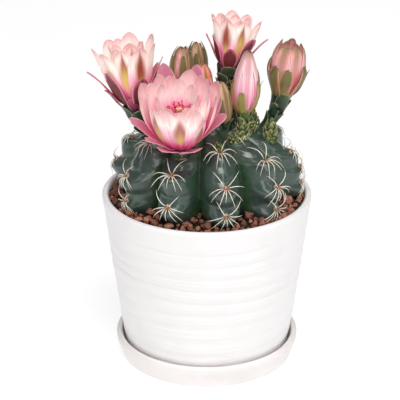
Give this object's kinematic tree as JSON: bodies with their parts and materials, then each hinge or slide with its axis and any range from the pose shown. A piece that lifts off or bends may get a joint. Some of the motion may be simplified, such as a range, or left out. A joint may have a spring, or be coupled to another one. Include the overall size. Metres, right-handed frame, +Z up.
{
  "type": "potted round cactus",
  "caption": "Ribbed round cactus in flower, with spine clusters and buds, planted under lava gravel in a ringed glazed pot on its saucer.",
  "frame": {"origin": "centre of the saucer's flat underside, on the pot's axis", "axes": "+Z up along the pot's axis; -Y is the side that faces the viewer, with the front flower; +X is the viewer's right"},
  "size_m": [0.1111, 0.1074, 0.1785],
  "materials": {
    "saucer_glaze": null,
    "pot_glaze": null,
    "soil": null,
    "gravel": null,
    "cactus_skin": null,
    "spine": null,
    "young_bud": null,
    "flower_tube": null,
    "outer_petal": null,
    "inner_petal": null,
    "stamen": null,
    "pistil": null,
    "bud": null
  },
  "bodies": {
    "root": {"back_left_bud": "bud", "back_left_bud_tube": "flower_tube", "back_right_bud": "bud", "back_right_bud_tube": "flower_tube", "cactus_body": "cactus_skin", "crown_bud": "bud", "crown_bud_tube": "flower_tube", "front_flower_inner_petals": "inner_petal", "front_flower_outer_petals": "outer_petal", "front_flower_pistil": "pistil", "front_flower_stamens": "stamen", "front_flower_tube": "flower_tube", "green_bud_0": "young_bud", "green_bud_1": "young_bud", "green_bud_2": "young_bud", "green_bud_3": "young_bud", "inner_bud": "bud", "inner_bud_tube": "flower_tube", "lava_gravel": "gravel", "left_flower_inner_petals": "inner_petal", "left_flower_outer_petals": "outer_petal", "left_flower_pistil": "pistil", "left_flower_stamens": "stamen", "left_flower_tube": "flower_tube", "middle_bud": "bud", "middle_bud_tube": "flower_tube", "pot": "pot_glaze", "potting_soil": "soil", "rib_0_lower_spines": "spine", "rib_0_middle_spines": "spine", "rib_0_upper_spines": "spine", "rib_1_lower_spines": "spine", "rib_1_middle_spines": "spine", "rib_1_upper_spines": "spine", "rib_2_lower_spines": "spine", "rib_2_middle_spines": "spine", "rib_2_upper_spines": "spine", "rib_3_middle_spines": "spine", "rib_3_upper_spines": "spine", "rib_4_middle_spines": "spine", "rib_4_upper_spines": "spine", "rib_5_middle_spines": "spine", "rib_5_upper_spines": "spine", "rib_6_middle_spines": "spine", "rib_6_upper_spines": "spine", "rib_7_middle_spines": "spine", "rib_7_upper_spines": "spine", "rib_8_lower_spines": "spine", "rib_8_middle_spines": "spine", "rib_8_upper_spines": "spine", "rib_9_middle_spines": "spine", "rib_9_upper_spines": "spine", "right_bud": "bud", "right_bud_tube": "flower_tube", "saucer": "saucer_glaze", "tall_flower_inner_petals": "inner_petal", "tall_flower_outer_petals": "outer_petal", "tall_flower_pistil": "pistil", "tall_flower_stamens": "stamen", "tall_flower_tube": "flower_tube"}
  },
  "joints": []
}
